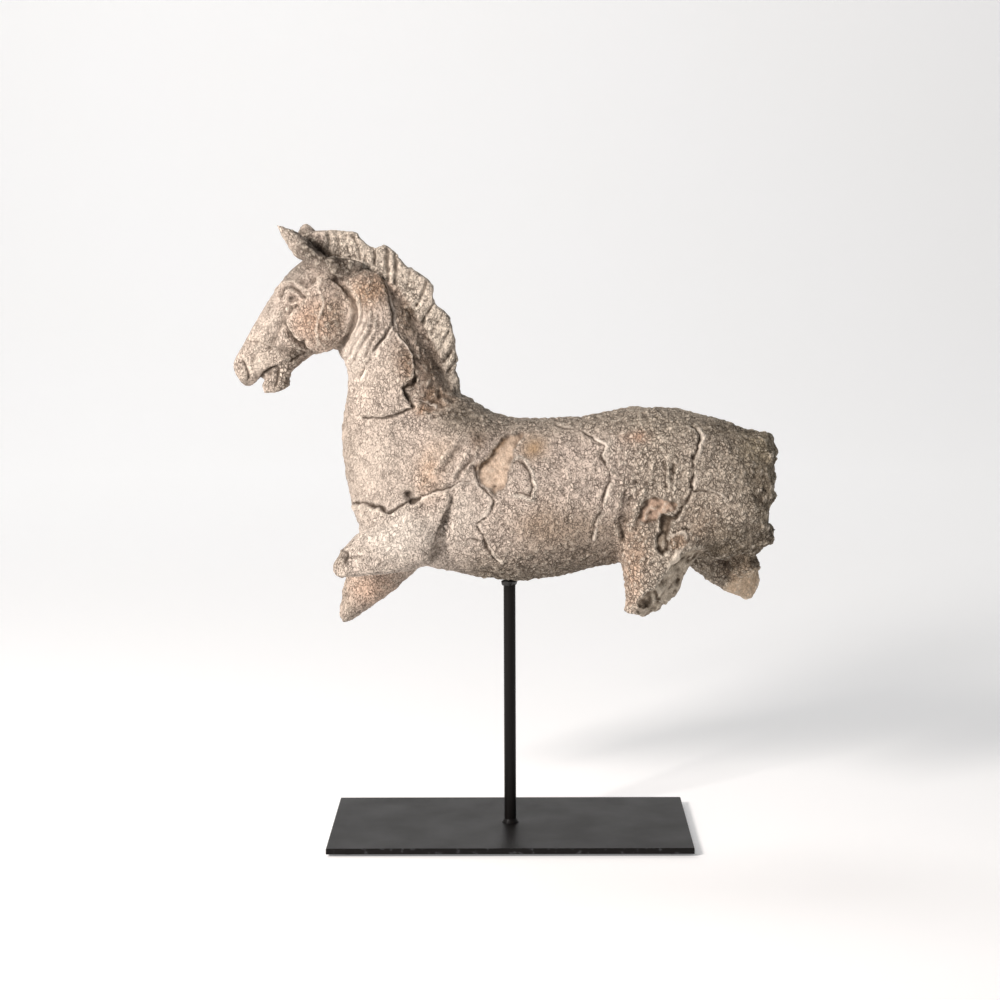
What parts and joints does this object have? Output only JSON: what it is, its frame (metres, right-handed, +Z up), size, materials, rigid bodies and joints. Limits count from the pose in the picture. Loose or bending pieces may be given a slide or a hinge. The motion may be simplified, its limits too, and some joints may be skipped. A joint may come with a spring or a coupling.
{
  "type": "horse figure fragment on stand",
  "caption": "Weathered fired-clay horse fragment with a scalloped mane and broken legs, held up by a thin black rod on a flat black plate with round feet.",
  "frame": {"origin": "on the ground, under the middle of the base plate", "axes": "+Z up, the horse faces -X, and the viewer of the pictured side stands on -Y"},
  "size_m": [0.4511, 0.15, 0.5112],
  "materials": {
    "clay": "matte",
    "black_rod": "satin",
    "black_glue": "satin",
    "black_plate": "satin",
    "pad_rubber": "matte"
  },
  "bodies": {
    "root": {"horse": "clay", "rod": "black_rod", "glue_bead": "black_glue", "base_plate": "black_plate", "foot_pad_1": "pad_rubber", "foot_pad_2": "pad_rubber", "foot_pad_3": "pad_rubber", "foot_pad_4": "pad_rubber"}
  },
  "joints": []
}
